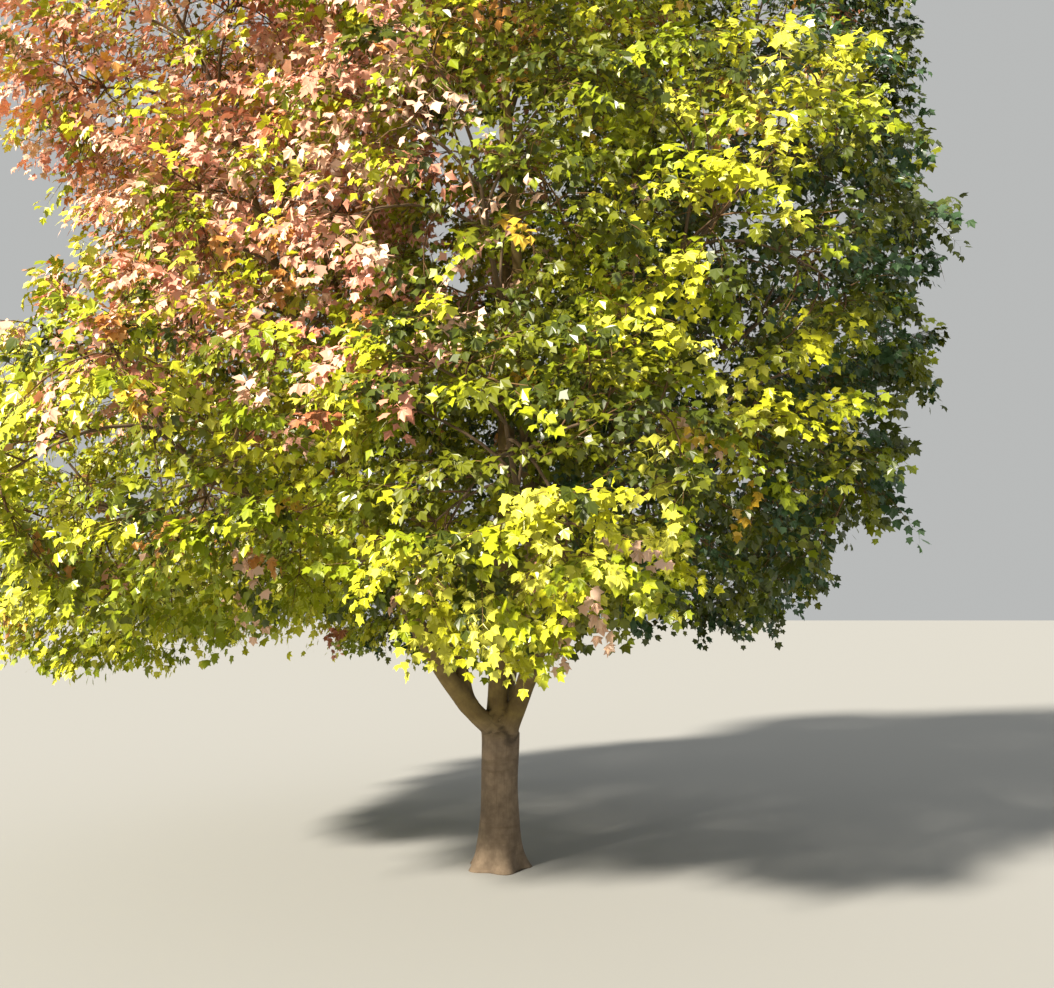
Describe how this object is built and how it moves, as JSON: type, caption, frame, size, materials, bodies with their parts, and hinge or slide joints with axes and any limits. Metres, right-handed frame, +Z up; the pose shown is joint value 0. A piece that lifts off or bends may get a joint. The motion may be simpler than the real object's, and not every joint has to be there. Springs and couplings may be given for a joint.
{
  "type": "maple tree",
  "caption": "Young broadleaf shade tree with a short forked trunk, rising stems and a broad egg-shaped crown of lobed leaves turning from green to lime and coral",
  "frame": {"origin": "Centre of the flat cut under the trunk, at ground level", "axes": "+Z up along the trunk, +X to the right of the crown as seen from the front, +Y to its back"},
  "size_m": [6.4106, 6.0752, 8.2934],
  "materials": {
    "bark": "rough grey-brown bark, smooth between shallow cracks",
    "leaf_lime": "sunlit lime-green leaves",
    "leaf_green": "olive green leaves",
    "leaf_autumn": "coral and salmon autumn leaves"
  },
  "bodies": {
    "root": {"trunk": "bark", "stem_back_left": "bark", "stem_back_right": "bark", "stem_front": "bark", "stem_leader": "bark", "stem_left": "bark", "stem_right": "bark", "bough_low_1": "bark", "bough_low_2": "bark", "bough_low_3": "bark", "bough_low_4": "bark", "bough_low_5": "bark", "bough_low_6": "bark", "bough_low_7": "bark", "bough_low_8": "bark", "bough_middle_1": "bark", "bough_middle_2": "bark", "bough_middle_3": "bark", "bough_middle_4": "bark", "bough_middle_5": "bark", "bough_middle_6": "bark", "bough_middle_7": "bark", "bough_middle_8": "bark", "bough_top_1": "bark", "bough_top_2": "bark", "bough_top_3": "bark", "foliage_low_1": "leaf_green", "foliage_low_2": "leaf_green", "foliage_low_3": "leaf_green", "foliage_low_4": "leaf_lime", "foliage_low_5": "leaf_lime", "foliage_low_6": "leaf_lime", "foliage_low_7": "leaf_lime", "foliage_low_8": "leaf_green", "foliage_middle_1": "leaf_green", "foliage_middle_2": "leaf_green", "foliage_middle_3": "leaf_green", "foliage_middle_4": "leaf_lime", "foliage_middle_5": "leaf_autumn", "foliage_middle_6": "leaf_autumn", "foliage_middle_7": "leaf_lime", "foliage_middle_8": "leaf_green", "foliage_tip_1": "leaf_autumn", "foliage_top_1": "leaf_green", "foliage_top_2": "leaf_autumn", "foliage_top_3": "leaf_autumn", "foliage_upper_1": "leaf_green", "foliage_upper_2": "leaf_green", "foliage_upper_3": "leaf_autumn", "foliage_upper_4": "leaf_autumn", "foliage_upper_5": "leaf_green"}
  },
  "joints": []
}
